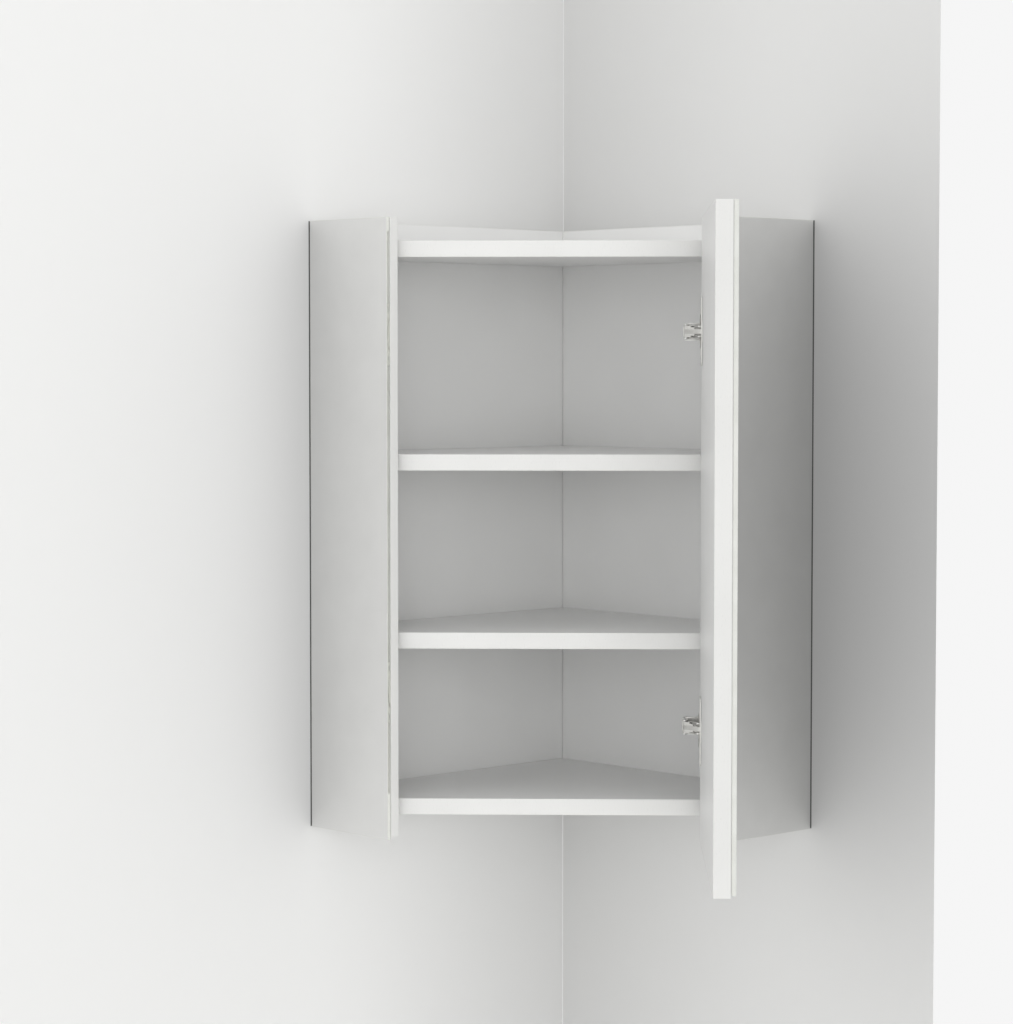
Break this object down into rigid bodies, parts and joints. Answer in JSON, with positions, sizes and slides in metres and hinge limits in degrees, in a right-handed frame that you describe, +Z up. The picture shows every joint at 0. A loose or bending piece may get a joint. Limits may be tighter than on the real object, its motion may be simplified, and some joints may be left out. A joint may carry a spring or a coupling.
{
  "type": "corner wall cabinet",
  "caption": "Five-sided white wall cabinet for a room corner, with shelves, mirror glass on its door and sides, and a door hung on concealed cup hinges.",
  "frame": {"origin": "the room corner at the cabinet's lower edge, where the two wall faces meet", "axes": "+Z up, +Y back into the corner, +X to the right seen from the front"},
  "size_m": [0.4944, 0.6281, 0.6],
  "materials": {
    "white_board": "satin white melamine on chipboard",
    "mirror_glass": "silvered float glass with ground edges",
    "nickel_steel": "bright nickel plate on pressed steel",
    "zinc_steel": "bright zinc plate",
    "beech": "raw turned beech"
  },
  "bodies": {
    "cabinet": {"arm_pin_inner_lower": "zinc_steel", "arm_pin_inner_upper": "zinc_steel", "arm_pin_outer_lower": "zinc_steel", "arm_pin_outer_upper": "zinc_steel", "arm_screw_lower": "zinc_steel", "arm_screw_upper": "zinc_steel", "back_panel_left": "white_board", "back_panel_right": "white_board", "bottom_panel": "white_board", "dowel_bottom_left_front": "beech", "dowel_bottom_left_rear": "beech", "dowel_bottom_right_front": "beech", "dowel_bottom_right_rear": "beech", "dowel_lower_shelf_left_front": "beech", "dowel_lower_shelf_left_rear": "beech", "dowel_lower_shelf_right_front": "beech", "dowel_lower_shelf_right_rear": "beech", "dowel_top_left_front": "beech", "dowel_top_left_rear": "beech", "dowel_top_right_front": "beech", "dowel_top_right_rear": "beech", "dowel_upper_shelf_left_front": "beech", "dowel_upper_shelf_left_rear": "beech", "dowel_upper_shelf_right_front": "beech", "dowel_upper_shelf_right_rear": "beech", "hanger_plate_left": "zinc_steel", "hanger_plate_right": "zinc_steel", "hanger_screw_left_inner": "zinc_steel", "hanger_screw_left_outer": "zinc_steel", "hanger_screw_right_inner": "zinc_steel", "hanger_screw_right_outer": "zinc_steel", "hinge_arm_lower": "nickel_steel", "hinge_arm_upper": "nickel_steel", "lower_shelf": "white_board", "mounting_plate_lower": "nickel_steel", "mounting_plate_upper": "nickel_steel", "plate_screw_bottom_lower": "zinc_steel", "plate_screw_bottom_upper": "zinc_steel", "plate_screw_top_lower": "zinc_steel", "plate_screw_top_upper": "zinc_steel", "side_board_left": "white_board", "side_board_right": "white_board", "side_mirror_left": "mirror_glass", "side_mirror_right": "mirror_glass", "top_panel": "white_board", "upper_shelf": "white_board"},
    "door": {"cup_pin_lower": "zinc_steel", "cup_pin_upper": "zinc_steel", "cup_screw_bottom_lower": "zinc_steel", "cup_screw_bottom_upper": "zinc_steel", "cup_screw_top_lower": "zinc_steel", "cup_screw_top_upper": "zinc_steel", "door_board": "white_board", "door_mirror": "mirror_glass", "hinge_cup_lower": "nickel_steel", "hinge_cup_upper": "nickel_steel"},
    "inner_links": {"hinge_inner_link_lower": "nickel_steel", "hinge_inner_link_upper": "nickel_steel"},
    "outer_links": {"hinge_outer_link_lower": "nickel_steel", "hinge_outer_link_upper": "nickel_steel"}
  },
  "joints": [
    {"name": "outer_link_swing", "type": "hinge", "parent": "cabinet", "child": "outer_links", "pos_m": [0.12121, -0.31389, 0.3], "axis": [0, 0, 1], "range_deg": [-0.5, 44.75]},
    {"name": "door_turn", "type": "hinge", "parent": "outer_links", "child": "door", "pos_m": [0.13826, -0.33043, 0.3], "axis": [0, 0, 1], "range_deg": [-134.25, 0]},
    {"name": "inner_link_swing", "type": "hinge", "parent": "cabinet", "child": "inner_links", "pos_m": [0.12099, -0.31947, 0.3], "axis": [0, 0, 1], "range_deg": [-0.5, 65.81]}
  ],
  "couplings": [
    {"joint": "outer_link_swing", "follows": "door_turn", "ratio": -0.32962},
    {"joint": "inner_link_swing", "follows": "door_turn", "ratio": -0.48648}
  ]
}
